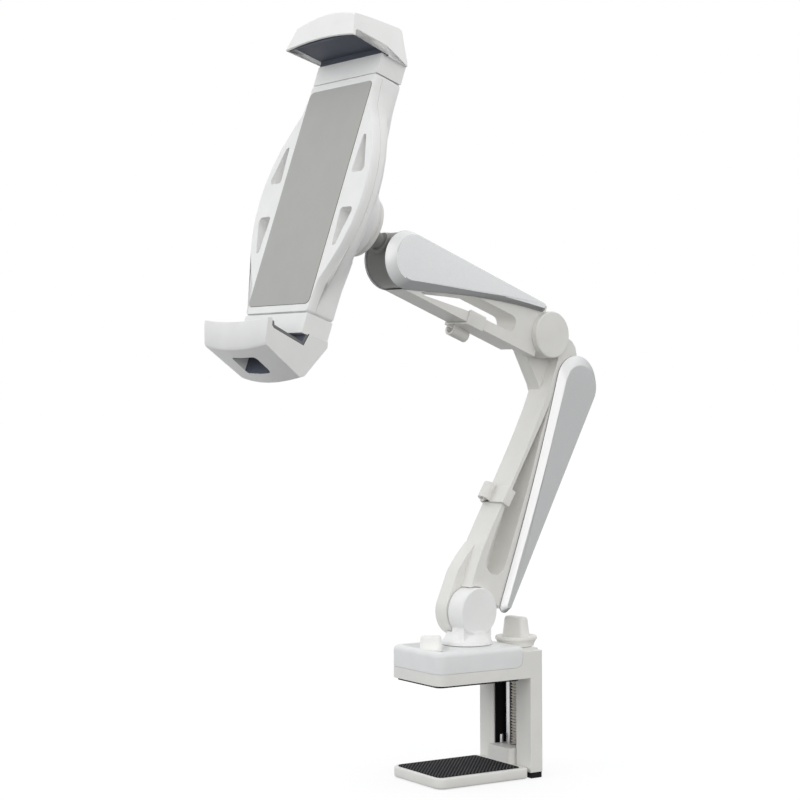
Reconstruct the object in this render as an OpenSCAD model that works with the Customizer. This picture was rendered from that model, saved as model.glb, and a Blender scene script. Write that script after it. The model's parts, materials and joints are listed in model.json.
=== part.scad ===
// Long-arm clamp mount for phones and tablets, in millimetres
// The origin is on the swivel axis of the base, at the face that seats on the desk top.
// +Z is up, -Y points to the user and +X is the near side.

/* [Clamp] */
// Width of both clamp plates
clamp_w = 60; // [56:1:72]
// From the swivel axis to the front edge of the plates
clamp_front = 42.7; // [40:0.1:48]
// From the swivel axis to the front face of the spine
spine_front = 31; // [30:0.5:38]
// Depth of the side walls of the spine
spine_d = 11; // [8:0.2:12]
// Thickness of the upper plate
plate_t = 7.6; // [7:0.2:10]
// Corner radius of the plates in plan
plate_r = 7; // [5:0.5:10]
// Height of the white cover above the upper plate
cover_t = 14.4; // [13:0.2:18]
// Radius of the long edges round the top of the cover
cover_edge_r = 3.6; // [2:0.2:5]
// Thickness of the rubber pad under the upper plate
pad_t = 1.5; // [1:0.1:2.5]
// Opening between the two pads as shown
throat = 57.9; // [54:0.5:80]
// Travel of the lower jaw towards the upper one
jaw_travel = 50.5; // [40:0.5:51]
// Thickness of the lower plate
lower_plate_t = 7.2; // [6:0.2:10]
// Width of the channel in the spine
channel_w = 26.5; // [26:0.5:29]
// Radius of the lead screw
screw_r = 4; // [3:0.1:4]
// Radius of the two guide rods
guide_r = 2.5; // [2:0.1:2.6]
// Height of the carriage block
carriage_h = 13.4; // [10:0.2:15]
// Radius of the rim of the clamp knob
knob_r = 14.3; // [12:0.1:14.4]
// Height of the thumb bar of the clamp knob
knob_bar_h = 13; // [9:0.5:15]

/* [Swivel] */
// Radius of the foot of the swivel post
post_r = 16.8; // [16:0.2:17.5]
// Radius of the swivel spindle
spindle_r = 6; // [4.5:0.1:6.5]
// Height of the base hinge above the desk face
base_pin_z = 46; // [45:0.5:56]
// Angle by which the arms are swung to the near side
swing = 8.5; // [0:0.5:20]
// Height of the lock's thumb bar
lock_h = 11; // [8:0.5:12]

/* [Arms] */
// Lower arm between its two hinges
lower_len = 199.4; // [185:0.2:220]
// Backward lean of the lower arm
lower_lean = 20.7; // [15:0.1:22]
// Upper arm between its two hinges
upper_len = 138; // [130:0.5:150]
// Rise of the upper arm above level
upper_rise = 20; // [10:0.5:30]
// Thickness of the arm frames
frame_t = 16; // [14:0.2:18]
// Thickness of each silver cover
shell_t = 4.5; // [3.5:0.1:5.5]
// Radius of the round big end of both arms
big_r = 19.2; // [18.6:0.1:20.5]
// Radius of the near hinge knuckles
knuckle_r = 16.2; // [15:0.1:16.4]
// Radius of the far hinge ears
ear_r = 17.4; // [16.8:0.1:17.8]
// Radius of the hinge bolts
pin_r = 4; // [3:0.1:5]
// Length of the lower arm's cable clip along the beam
clip_h = 12; // [8:0.5:14]

/* [Head] */
// Length of the neck from the arm's pin to the ball
neck_len = 38.2; // [36:0.2:44]
// Rise of the neck above level
neck_rise = 33.3; // [20:0.1:50]
// Radius of the ball
ball_r = 11.4; // [10.5:0.1:11.8]
// Turn of the holder about the ball, against the arms
head_yaw = -4.6; // [-15:0.1:15]
// Backward lean of the holder
holder_lean = 19.3; // [0:0.1:35]
// From the ball to the holder's front face
hub_reach = 43; // [42:0.5:48]
// Drop of the hub below the holder's middle
hub_drop = 4; // [0:0.5:8]
// Radius of the hub drum
hub_r = 26; // [24:0.5:28]

/* [Holder] */
// Length of the two shells
body_len = 159.6; // [156:0.2:180]
// Width of the shells at their ends
body_w = 72; // [70:0.5:78]
// Width of the shells across the middle
bulge_w = 121; // [112:1:126]
// Thickness of the front shell
front_t = 6; // [5:0.2:7]
// Thickness of both shells together
body_t = 20.6; // [19.6:0.2:22]
// Length of the grey grip pad
grip_len = 148.8; // [130:0.2:152]
// Width of the grey grip pad
grip_w = 69.6; // [60:0.2:69.8]
// Height of the plain block between shell and jaw
neck_block = 13.4; // [10:0.2:16]
// Width of the upper jaw at its lip
jaw_w = 77; // [75:0.5:80]
// Reach of the jaws in front of the shell
jaw_reach = 25; // [22:0.5:34]
// Travel of each jaw outwards
slide_travel = 42; // [20:1:44]
// Teeth of the pinion between the racks
pinion_teeth = 12; // [12:2:14]

/* [Hidden] */

// Running clearance of a shaft in its bore
run = 0.06;
// Gap between parts that lie side by side
gap = 0.3;
// Gap between faces that rub on each other
rub = 0.05;
// A cut that passes through a face goes this far past it
past = 1;

// Heights of the clamp
plate_z0 = pad_t;
plate_z1 = plate_z0 + plate_t;
cover_z1 = plate_z1 + cover_t;
spine_z1 = cover_z1 - 4;
jaw_top = -throat - 0.6;
jaw_bottom = jaw_top - lower_plate_t;
spine_z0 = jaw_bottom + 3.7;
cap_t = 4;
carriage_z0 = spine_z0 + 0.6;
carriage_z1 = carriage_z0 + carriage_h;
stop_top = plate_z1 - jaw_travel;
// Depths of the clamp
screw_y = spine_front + 9.6;
spine_back = spine_front + spine_d;
channel_back = screw_y + 7;
hump_back = channel_back + 3.7;
cover_back = spine_front - 6.1;
jaw_back = spine_front - 1.6;
// The channel's inner half widths
channel_x = channel_w / 2;
liner_t = 0.8;
carriage_x = channel_x - liner_t - gap;
hump_x = channel_x + 3.8;
bush_r = screw_r + 1.5;
guide_x = bush_r + guide_r + 0.6;
// Knob
knob_z0 = spine_z1 + gap;
knob_rim_z = knob_z0 + 6.8;
knob_bar_w = 21;
// Lock
lock_y = -29;
pocket_z = cover_z1 - 3;
// Levels of the hinge stacks along the pivot
side_n = frame_t / 2;
far_n = side_n + 3.2;
face_n = side_n + shell_t;
lap_n = -1;
washer_t = 0.6;
bolt_head_r = pin_r + 3;
bolt_head_t = 3.4;
base_seat_n = lap_n - washer_t - rub;
// Elbow and big ends in the frame of each arm
lower_big = [37.1, lower_len - 21.7];
lower_edge_lean = 9.4;
lower_tip = lower_len - 32.6;
upper_tip = upper_len - 13;
// Head
ball_x = -neck_len * cos(neck_rise);
ball_y = neck_len * sin(neck_rise);
hub_z = 4;
ring_r = 20.5;
ring_z = -3.6;
spigot_r = 14.4;
spigot_z = 16;
// Holder, along its facing axis
back_z = -body_t;
seam_z = -front_t;
slide_z0 = seam_z - 6.2;
slide_z1 = seam_z - 1.6;
end_y = body_len / 2;
half_w = body_w / 2;
jaw_y = end_y + neck_block;
bulge_r = 85;
blend_r = 30;
// Pinion and racks
tooth_m = 1;
pitch_r = pinion_teeth * tooth_m / 2;
tooth_p = PI * tooth_m;
rack_in = pitch_r + 1.25 * tooth_m;
rack_out = rack_in + 5.5;
rack_top = 40;
rack_end = 12 + slide_travel;
axle_r = 2.5;
cavity_x = half_w - 3;
rail_in = rack_out + 3;
rail_out = cavity_x - gap;
window_x = 14;
window_z = [-1, 13.5];
screw_hole_r = 1.6;
screw_head_r = 2.8;
hub_top = hub_reach - body_t - 0.05;
hub_screws = [for (a = [45:90:359]) [20.5 * cos(a), 20.5 * sin(a) - hub_drop]];

// Points on an arc, from angle a0 to angle a1
function arc_pts(c, r, a0, a1, n) = [for (i = [0:n])
    c + r * [cos(a0 + (a1 - a0) * i / n), sin(a0 + (a1 - a0) * i / n)]];
// Points on a cubic curve, without its two ends
function curve_pts(a, b, c, d, n) = [for (i = [1:n - 1]) let (t = i / n, s = 1 - t)
    s * s * s * a + 3 * s * s * t * b + 3 * s * t * t * c + t * t * t * d];
// A rectangle between two corners, with the radius of each corner in turn
function rect_pts(lo, hi, r, n = 6) = concat(
    arc_pts([lo.x + r[0], lo.y + r[0]], r[0], 180, 270, n),
    arc_pts([hi.x - r[1], lo.y + r[1]], r[1], 270, 360, n),
    arc_pts([hi.x - r[2], hi.y - r[2]], r[2], 0, 90, n),
    arc_pts([lo.x + r[3], hi.y - r[3]], r[3], 90, 180, n));
// The same outline drawn in by d, measured along each corner's bisector
function unit(v) = v / norm(v);
function inset_pts(p, d) = let (n = len(p)) [for (i = [0:n - 1])
    let (a = unit(p[i] - p[(i + n - 1) % n]), b = unit(p[(i + 1) % n] - p[i]),
         m = unit(a + b), k = max(0.5, m * b))
    p[i] + d / k * [-m.y, m.x]];
function lift(p, z) = [for (q = p) [q.x, q.y, z]];

// A closed skin over rings that all have the same number of points
module loft(rings) {
    n = len(rings[0]);
    m = len(rings);
    polyhedron(
        points = [for (r = rings) for (q = r) q],
        faces = concat(
            [[for (i = [0:n - 1]) i]],
            [for (k = [0:m - 2]) for (i = [0:n - 1])
                [k * n + i, (k + 1) * n + i, (k + 1) * n + (i + 1) % n]],
            [for (k = [0:m - 2]) for (i = [0:n - 1])
                [k * n + i, (k + 1) * n + (i + 1) % n, k * n + (i + 1) % n]],
            [[for (i = [n - 1:-1:0]) (m - 1) * n + i]]));
}

// An outline raised from z0 to z1, with its top and bottom edges rounded
module soft_prism(p, z0, z1, top, bottom = 0, steps = 3) {
    low = bottom > 0 ? [for (i = [0:steps]) let (t = 90 * i / steps)
        lift(inset_pts(p, bottom * (1 - sin(t))), z0 + bottom * (1 - cos(t)))] : [lift(p, z0)];
    high = top > 0 ? [for (i = [0:steps]) let (t = 90 * i / steps)
        lift(inset_pts(p, top * (1 - cos(t))), z1 - top * (1 - sin(t)))] : [lift(p, z1)];
    loft(concat(low, high));
}

module tube(r, z0, z1) translate([0, 0, z0]) cylinder(r = r, h = z1 - z0, $fn = 64);
module prism(p, z0, z1) translate([0, 0, z0]) linear_extrude(z1 - z0) polygon(p);
// A profile in Y and Z, raised along X from x0 to x1
module side_prism(p, x0, x1) translate([x0, 0, 0]) rotate([90, 0, 90]) linear_extrude(x1 - x0) polygon(p);
// Hole with flat sides, for the moulded shells
module hole(r, z0, z1) prism(arc_pts([0, 0], r + 0.03, 0, 345, 23), z0, z1);
module block(lo, hi) translate(lo) cube(hi - lo);

// The plane of the arms: x to the rear, y up and z to the near side
module arm_plane() rotate([0, 0, swing]) rotate([90, 0, 90]) children();
module at_base() arm_plane() translate([0, base_pin_z, 0]) rotate([0, 0, -lower_lean]) children();
module at_elbow() at_base() translate([0, lower_len, 0]) rotate([0, 0, lower_lean - upper_rise])
    mirror([1, 0, 0]) children();
// The pin of the head, with the same axes as the plane of the arms
module at_head() at_elbow() translate([upper_len, 0, 0]) mirror([1, 0, 0])
    rotate([0, 0, upper_rise]) children();
// The ball, with x to the near side, y up the holder and z out of its front
module at_ball() at_head() translate([ball_x, ball_y, 0]) rotate([0, head_yaw - 90, 0])
    rotate([-holder_lean, 0, 0]) children();
// The holder, with its origin in the middle of its front face
module at_holder() at_ball() translate([0, hub_drop, hub_reach]) children();

// Outline of the spine in plan, from the front line y0 round the hump for the screw
function spine_pts(y0, d = 0) = concat(
    [[-clamp_w / 2 + d, y0 + d], [clamp_w / 2 - d, y0 + d]],
    arc_pts([clamp_w / 2 - 3, spine_back - 3], 3 - d, 0, 90, 4),
    [[hump_x - d, spine_back - d]],
    arc_pts([hump_x - 8, hump_back - 8], 8 - d, 0, 90, 5),
    arc_pts([8 - hump_x, hump_back - 8], 8 - d, 90, 180, 5),
    [[d - hump_x, spine_back - d]],
    arc_pts([3 - clamp_w / 2, spine_back - 3], 3 - d, 90, 180, 4));

// Where the four screws of the cover stand
screw_places = [for (x = [-1, 1], y = [8 - clamp_front, cover_back - 8]) [x * (clamp_w / 2 - 7), y]];

// Moulded C of the clamp: upper plate, spine and the screw's channel
module clamp_frame() color([0.87, 0.87, 0.84]) difference() {
    union() {
        prism(rect_pts([-clamp_w / 2, -clamp_front], [clamp_w / 2, cover_back + 5], [plate_r, plate_r, 1, 1]),
            plate_z0, plate_z1);
        prism(spine_pts(cover_back), plate_z0, spine_z1);
        prism(spine_pts(spine_front), spine_z0, plate_z0 + 2);
        side_prism(concat([[cover_back - 5.5, plate_z1 - past], [cover_back + past, plate_z1 - past],
            [cover_back + past, plate_z1 + 5.5]],
            arc_pts([cover_back - 5.5, plate_z1 + 5.5], 5.5, 360, 270, 6)), -clamp_w / 2, clamp_w / 2);
    }
    side_prism([[hump_back - 4.6, spine_z1 + past], [hump_back - 4.6, spine_z1],
        [hump_back + past, spine_z1 - 6.5], [hump_back + past, spine_z1 + past]],
        -clamp_w / 2, clamp_w / 2);
    block([-channel_x, spine_front - past, spine_z0 - past], [channel_x, channel_back, plate_z0 - 0.2]);
    block([-channel_x, spine_front, plate_z0 - past], [channel_x, channel_back, plate_z1]);
    translate([0, screw_y]) tube(bush_r, plate_z1 - past, spine_z1 + past);
    for (x = [-guide_x, guide_x]) translate([x, screw_y]) tube(guide_r, plate_z1 - past, plate_z1 + 4);
    tube(spindle_r + 2, plate_z0 - past, plate_z1 + past);
    tube(spindle_r + 5, plate_z0 - past, plate_z0 + 4);
    for (p = screw_places) translate(p) {
        tube(1.8, plate_z0 - past, plate_z1 + past);
        tube(3.3, plate_z0 - past, plate_z0 + 2.4);
    }
}

module upper_jaw_pad() color([0.08, 0.08, 0.08])
    prism(rect_pts([3.6 - clamp_w / 2, 2.5 - clamp_front], [clamp_w / 2 - 3.6, jaw_back - 5],
        [plate_r - 3, plate_r - 3, 2, 2]), 0, plate_z0);

// White cover of the swivel, with the dished recess of the lock
module base_cover() color([0.93, 0.93, 0.94]) {
    z0 = plate_z1 + 0.1;
    back = cover_back - 0.15;
    difference() {
        intersection() {
            soft_prism(rect_pts([-clamp_w / 2, -clamp_front], [clamp_w / 2, cover_back + 12],
                [plate_r, plate_r, 5, 5]), z0, cover_z1, cover_edge_r, 0, 4);
            side_prism(concat([[-clamp_front - past, z0]], arc_pts([back - 5.4, z0 + 5.4], 5.4, 270, 360, 6),
                arc_pts([back - 2, cover_z1 - 2], 2, 0, 90, 4), [[-clamp_front - past, cover_z1]]),
                -clamp_w / 2 - past, clamp_w / 2 + past);
        }
        soft_recess();
        tube(spindle_r + 2 + run, z0 - past, cover_z1 + past);
        translate([0, lock_y]) tube(3 + run, z0 - past, cover_z1);
        translate([0, 0, z0 - past]) linear_extrude(4 + past) strap_shape(0.4);
        for (p = screw_places) translate(p) tube(1.6 + run, z0 - past, z0 + 8);
    }
}

// The recess narrows to its floor
module soft_recess() {
    p = rect_pts([-clamp_w / 2 + 6, lock_y - 9.7], [clamp_w / 2 - 6, lock_y + 10.3], [6, 6, 7, 7], 5);
    loft([lift(inset_pts(p, 2.2), pocket_z), lift(inset_pts(p, 0.9), pocket_z + 0.5),
        lift(inset_pts(p, 0.2), pocket_z + 1.6), lift(p, cover_z1 + past)]);
}

// Brake strap from the lock bolt round the swivel bush
module strap_shape(d) {
    circle(r = spindle_r + 6 + d, $fn = 48);
    translate([-5 - d, lock_y]) square([10 + 2 * d, -lock_y]);
    translate([0, lock_y]) circle(r = 5 + d, $fn = 32);
}

module lock_strap() color([0.6, 0.6, 0.62]) translate([0, 0, plate_z1 + 0.4]) difference() {
    linear_extrude(3) strap_shape(0);
    tube(spindle_r + 2 + gap, -past, 4);
    translate([0, lock_y]) tube(3 + run, -past, 4);
}

module spine_end_cap() color([0.05, 0.05, 0.05]) difference() {
    prism(spine_pts(spine_front, 0.5), spine_z0 - cap_t, spine_z0);
    for (x = [-guide_x, guide_x]) translate([x, screw_y]) tube(guide_r, spine_z0 - 3, spine_z0 + past);
    translate([0, screw_y]) tube(screw_r - 1 + run, spine_z0 - 3, spine_z0 + past);
}

module channel_liner() color([0.06, 0.06, 0.06]) {
    x = channel_x;
    y = channel_back;
    prism([[-x, spine_front + 1], [liner_t - x, spine_front + 1], [liner_t - x, y - liner_t],
        [x - liner_t, y - liner_t], [x - liner_t, spine_front + 1], [x, spine_front + 1], [x, y], [-x, y]],
        spine_z0, plate_z1);
}

module guide_rods() color([0.78, 0.79, 0.81]) for (x = [-guide_x, guide_x])
    translate([x, screw_y]) tube(guide_r, spine_z0 - 3, plate_z1 + 4);

module screw_bush() color([0.75, 0.62, 0.35]) translate([0, screw_y]) difference() {
    tube(bush_r, plate_z1, spine_z1);
    tube(screw_r + run, plate_z1 - past, spine_z1 + past);
}

module swivel_bush() color([0.3, 0.3, 0.32]) difference() {
    tube(spindle_r + 2, plate_z0 + 4, cover_z1);
    tube(spindle_r + run, plate_z0, cover_z1 + past);
}

module cover_screws() color([0.55, 0.55, 0.57]) for (p = screw_places) translate(p) {
    tube(1.6, plate_z0 + 0.4, plate_z1 + 7);
    tube(3, plate_z0 + 0.2, plate_z0 + 2.4);
}

module lead_screw() color([0.7, 0.69, 0.66]) translate([0, screw_y]) {
    tube(screw_r - 1, spine_z0 - 3, spine_z0 + 2);
    tube(screw_r, spine_z0 + 0.5, knob_rim_z + 3);
}

// Rounded bar for the thumb, w wide and t thick at its foot, with its rounded top drawn in
module thumb_bar(w, t, z0, z1, taper) {
    p = rect_pts([-w / 2, -t / 2], [w / 2, t / 2], [3, 3, 3, 3], 4);
    q = rect_pts([taper - w / 2, taper / 2 - t / 2], [w / 2 - taper, t / 2 - taper / 2],
        [2.6, 2.6, 2.6, 2.6], 4);
    loft([lift(p, z0), lift(q, z1 - 2), lift(inset_pts(q, 0.3), z1 - 1), lift(inset_pts(q, 0.9), z1 - 0.25),
        lift(inset_pts(q, 1.8), z1)]);
}

module clamp_knob() color([0.9, 0.9, 0.88]) translate([0, screw_y]) difference() {
    union() {
        rotate_extrude($fn = 96) polygon(concat([[0, knob_z0], [knob_r - 2.2, knob_z0],
            [knob_r - 2, knob_z0 + 1.4], [knob_r - 0.5, knob_rim_z - 2.6], [knob_r, knob_rim_z - 2.2]],
            arc_pts([knob_r - 0.8, knob_rim_z - 0.8], 0.8, 0, 90, 4), [[knob_r - 3.4, knob_rim_z],
            [knob_r - 4, knob_rim_z - 0.5], [0, knob_rim_z - 0.5]]));
        rotate([0, 0, 10]) thumb_bar(knob_bar_w, 9, knob_rim_z - 1.5, knob_rim_z + knob_bar_h, 1.6);
    }
    tube(screw_r, knob_z0 - past, knob_rim_z + 3);
}

// Lower plate with its carriage, which runs in the channel
module lower_jaw() color([0.86, 0.86, 0.83]) difference() {
    union() {
        soft_prism(rect_pts([-clamp_w / 2, -clamp_front], [clamp_w / 2, jaw_back], [plate_r, plate_r, 3, 3]),
            jaw_bottom, jaw_top, 1, 1.4);
        block([-carriage_x, jaw_back - 4, jaw_bottom + 1], [carriage_x, spine_front - gap, carriage_z1]);
        block([-carriage_x, jaw_back, carriage_z0], [carriage_x, channel_back - liner_t - gap, carriage_z1]);
    }
    translate([0, 0, jaw_top - 1]) linear_extrude(1 + past) pad_shape(0.1);
    for (x = [-guide_x, guide_x]) translate([x, screw_y])
        tube(guide_r + run, carriage_z0 - past, carriage_z1 + past);
    translate([0, screw_y]) tube(screw_r + 0.4, carriage_z0 - past, carriage_z1 + past);
    translate([0, screw_y]) tube(bush_r, carriage_z0 - past, carriage_z1 - 3);
    translate([-guide_x, spine_front + 3.2]) tube(1.1, carriage_z1 - 4, carriage_z1 + past);
}

module pad_shape(d) polygon(rect_pts([3.6 - d - clamp_w / 2, 2.5 - d - clamp_front],
    [clamp_w / 2 - 3.6 + d, jaw_back - 5 + d], [plate_r - 3, plate_r - 3, 2, 2]));

module lower_jaw_pad() color([0.07, 0.07, 0.07])
    translate([0, 0, jaw_top - 1]) linear_extrude(1.6) pad_shape(0);

module screw_nut() color([0.75, 0.62, 0.35]) translate([0, screw_y]) difference() {
    tube(bush_r, carriage_z0, carriage_z1 - 3);
    tube(screw_r + run, carriage_z0 - past, carriage_z1);
}

module carriage_stop() color([0.6, 0.6, 0.6]) translate([-guide_x, spine_front + 3.2]) {
    tube(1.1, carriage_z1 - 4, stop_top - 1.1);
    translate([0, 0, stop_top - 1.1]) sphere(r = 1.1, $fn = 24);
}

module lock_turn() color([0.95, 0.95, 0.93]) translate([0, lock_y]) difference() {
    union() {
        tube(6.8, pocket_z + gap, pocket_z + 1.6);
        rotate([0, 0, 40]) thumb_bar(15.6, 7.4, pocket_z + 1, pocket_z + lock_h, 0.8);
    }
    tube(3, pocket_z - past, pocket_z + 5);
}

module lock_bolt() color([0.6, 0.6, 0.62]) translate([0, lock_y]) tube(3, plate_z1 + 0.6, pocket_z + 5);

// Foot, flared neck and near knuckle of the swivel
module swivel_post() color([0.93, 0.93, 0.93]) difference() {
    neck = 13.6;
    foot = cover_z1 + gap;
    union() {
        rotate([0, 0, swing]) rotate_extrude($fn = 96) polygon(concat([[0, foot], [post_r - 0.4, foot],
            [post_r, foot + 0.4], [post_r, foot + 2.4]],
            curve_pts([post_r, foot + 2.4], [post_r - 1.2, foot + 4.4], [neck, foot + 6],
                [neck, foot + 9], 6),
            [[neck, foot + 9], [0, foot + 9]]));
        at_base_level() tube(knuckle_r, lap_n, face_n - 0.5);
        at_base_level() translate([0, 0, face_n - 0.5])
            cylinder(r1 = knuckle_r, r2 = knuckle_r - 0.7, h = 0.7, $fn = 64);
        arm_plane() block([-12.6, foot + 3, lap_n], [12.6, base_pin_z, face_n - 2]);
    }
    at_base_level() tube(ear_r + 0.5, -30, lap_n);
    at_base_level() tube(pin_r, lap_n - past, face_n - 3);
    tube(spindle_r, foot - past, foot + 4);
}

// The base hinge in the plane of the arms, before the lower arm's lean
module at_base_level() arm_plane() translate([0, base_pin_z, 0]) children();

module swivel_spindle() color([0.6, 0.6, 0.62]) tube(spindle_r, plate_z0 + 0.4, cover_z1 + gap + 4);

module spindle_washer() color([0.55, 0.55, 0.57]) difference() {
    tube(spindle_r + 4, plate_z0 + 0.8, plate_z0 + 3.7);
    tube(spindle_r, plate_z0, plate_z0 + 5);
}

// A hinge bolt along the pivot, its head on the far side
module hinge_bolt(far, near) {
    tube(pin_r, far, near);
    tube(bolt_head_r, far, far + bolt_head_t);
}

module friction_ring(r) difference() {
    tube(r, lap_n - washer_t, lap_n);
    tube(pin_r + run, lap_n - 2, lap_n + past);
}

module base_pin() color([0.6, 0.6, 0.62]) at_base_level() hinge_bolt(1.4 - face_n, face_n - 3);
module base_washer() color([0.25, 0.25, 0.27]) at_base_level() friction_ring(knuckle_r - 2);

// Front edge of the lower arm, from the base hinge to the elbow
lower_front = concat([[-9, 14], [-8.6, 30]],
    curve_pts([-8.6, 30], [-7.2, 58], [4.6, 90], [12.4, lower_len - 50], 9),
    [[12.4, lower_len - 50], [13.8, lower_len - 31], [15.2, lower_len - 12.7], [10, lower_len]]);
// Rear edge, from the horn at the elbow round the big end to the tip at the base
lower_rear = concat([[17, lower_len + 4], [20, lower_len + 4.8], [23.6, lower_len + 4.3],
    [28, lower_len + 1.8]],
    arc_pts(lower_big, big_r - 0.9, 106, -lower_edge_lean, 14),
    [[28.7, 12], [27, 9.4], [24, 9.2]]);

// Long window of the lower arm, narrowing to the elbow
lower_window = concat(arc_pts([7.2, 37.2], 9, 180, 360, 10),
    [[17.4, 70], [18, 100], [17.6, 130], [18.4, lower_len - 38]],
    curve_pts([18.4, lower_len - 38], [16.5, lower_len - 64], [1, 90], [-1.8, 37.2], 12));

// Lower arm: far ear at the base, open beam, and the head with its half-lap seat at the elbow
module lower_frame() color([0.89, 0.9, 0.89]) at_base() difference() {
    union() {
        prism(concat(lower_front, lower_rear), -far_n, side_n);
        tube(ear_r, -face_n, base_seat_n);
        prism([[-ear_r, 0], [ear_r, 0], [ear_r, 14], [4, 40], [-6.4, 46],
            [-12, 34], [-15.7, 23]], -face_n, base_seat_n);
        translate([0, lower_len]) tube(ear_r - 0.6, -face_n, lap_n - rub);
        translate([0, lower_len]) prism([[-11.9, -12.6], [11.2, -32.3], [14, -36], [17.8, -36], [17.8, -20],
            [16, 5]], -face_n, lap_n - rub);
    }
    tube(knuckle_r + 0.6, base_seat_n, face_n);
    prism([[-14, -20], [30, -20], [22, 2], [14, 8], [-9.6, 12], [-30, 12]], base_seat_n, face_n);
    translate([0, lower_len]) tube(knuckle_r + 0.8, lap_n - rub, face_n);
    prism(lower_window, 2.4 - far_n, face_n);
    tube(pin_r + run, -face_n - past, face_n);
    tube(bolt_head_r + gap, -face_n - past, 1.4 - face_n + bolt_head_t + rub);
    translate([0, lower_len]) tube(pin_r + run, -face_n - past, face_n);
    translate([0, lower_len]) tube(bolt_head_r + gap, -face_n - past, 1.4 - face_n + bolt_head_t + rub);
}

module base_pin_cap() color([0.88, 0.88, 0.87]) at_base() tube(bolt_head_r + gap, 0.1 - face_n, 1.1 - face_n);

// Teardrop outline: big end at c, tip on the s axis, straight along +y and gently waved below
function teardrop(c, r, tip, tip_r, rise) = let (
    low = c + r * [sin(rise), -cos(rise)],
    t = tip + tip_r * [sin(8), -cos(8)],
    span = 0.36 * norm(t - low))
    concat(arc_pts(c, r, 90, 270 + rise, 22), curve_pts(low, low + span * [cos(rise), sin(rise)],
        t - span * [cos(8), sin(8)], t, 10), arc_pts(tip, tip_r, -82, 90, 8));

// Silver cover with its face set off-centre, so that its bevel is wide round the big end and below
module silver_cover(tip_s, tip_r, rise, n0 = side_n) {
    outer = teardrop([0, 0], big_r, [tip_s, big_r - tip_r], tip_r, rise);
    face_r = big_r - 3.9;
    face = teardrop([2.5, 2.3], face_r, [tip_s - 1.6, 2.3 + face_r - tip_r * 0.5], tip_r * 0.5, rise - 1);
    function between(k) = [for (i = [0:len(outer) - 1]) outer[i] + k * (face[i] - outer[i])];
    translate([0, 0, n0]) loft([lift(outer, 0.1), lift(outer, 0.8), lift(between(0.1), 1.3),
        lift(between(0.78), shell_t - 0.8), lift(between(0.95), shell_t - 0.2),
        lift(between(1.08), shell_t)]);
}

module lower_cover() at_base() translate(lower_big) rotate([0, 0, -90 - lower_edge_lean])
    children();
module upper_cover() at_elbow() translate([upper_len, 0]) mirror([1, 0, 0]) children();

module lower_cover_near() color([0.72, 0.73, 0.74]) lower_cover() silver_cover(lower_tip, 4.2, 13.4);
module lower_cover_far() color([0.72, 0.73, 0.74]) lower_cover() mirror([0, 0, 1])
    silver_cover(lower_tip, 4.2, 13.4, far_n);
module upper_cover_near() color([0.8, 0.81, 0.82])
    upper_cover() cover_with_pin() silver_cover(upper_tip, 3.4, 17);
module upper_cover_far() color([0.8, 0.81, 0.82]) upper_cover() cover_with_pin() mirror([0, 0, 1])
    silver_cover(upper_tip, 3.4, 17, far_n);
// The head's pin ends in the covers
module cover_with_pin() difference() {
    children();
    tube(pin_r, -far_n - 3, side_n + 3);
}

// Clip that snaps over a beam x0 to x1 wide, with a wavy lip that holds the cable in front
module cable_clip(x0, x1, h) {
    t = 1.7;
    n = side_n + 0.1;
    far = -far_n - 0.1;
    curl = [x0 - t - 3, -6.5];
    linear_extrude(h, center = true) {
        polygon([[x0 - t, far - t], [x1, far - t], [x1, far], [x0 - 0.1, far], [x0 - 0.1, n], [x1 - 0.5, n],
            [x1 + 0.6, n + 0.4], [x1 + 0.8, n + t + 0.2], [x1, n + t + 0.4], [x0 - t, n + t]]);
        polygon(concat(arc_pts(curl, 4.4, 40, 300, 12), arc_pts(curl, 2.8, 300, 40, 12)));
    }
}

module lower_clip() color([0.9, 0.9, 0.89]) at_base() translate([0, 82])
    rotate([0, 0, -13]) rotate([90, 0, 0]) mirror([0, 0, 1]) cable_clip(0.1, 4.6, clip_h);

// Upper arm: near half-lap at the elbow, open beam with its window, seat of the head's drum
upper_window = concat(arc_pts([37, -5.2], 5.7, 90, 270, 8),
    [[74, -11.3], [upper_len - 23, -16], [upper_len - 19, -15.2], [upper_len - 21, -14],
    [upper_len - 43, -6.5],
    [72, 0.2]]);

module upper_frame() color([0.89, 0.89, 0.88]) at_elbow() difference() {
    union() {
        tube(knuckle_r, lap_n + washer_t, side_n);
        prism([[7.5, -18.8], [upper_len, -18.8], [upper_len, big_r - 0.8], [7.5, big_r - 0.8]],
            -far_n, side_n);
    }
    tube(29, -far_n - past, lap_n + washer_t);
    translate([upper_len, 0]) tube(big_r, -far_n - past, side_n + past);
    prism(upper_window, -far_n - past, side_n + past);
    tube(pin_r, -face_n, face_n);
}

module elbow_cap() color([0.9, 0.9, 0.88]) at_elbow() difference() {
    union() {
        tube(knuckle_r, side_n + 0.05, face_n - 0.5);
        translate([0, 0, face_n - 0.5]) cylinder(r1 = knuckle_r, r2 = knuckle_r - 0.7, h = 0.7, $fn = 64);
    }
    tube(pin_r, side_n - past, side_n + 2);
}

module elbow_pin() color([0.6, 0.6, 0.62]) at_elbow() hinge_bolt(1.4 - face_n, side_n + 1.8);
module elbow_washer() color([0.25, 0.25, 0.27]) at_elbow() translate([0, 0, washer_t])
    friction_ring(knuckle_r - 2);

module upper_clip() color([0.9, 0.9, 0.89]) at_elbow() translate([68, 0])
    rotate([0, 0, 90]) rotate([90, 0, 0]) mirror([0, 0, 1]) cable_clip(-18.9, -11.2, clip_h + 3);

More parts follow.
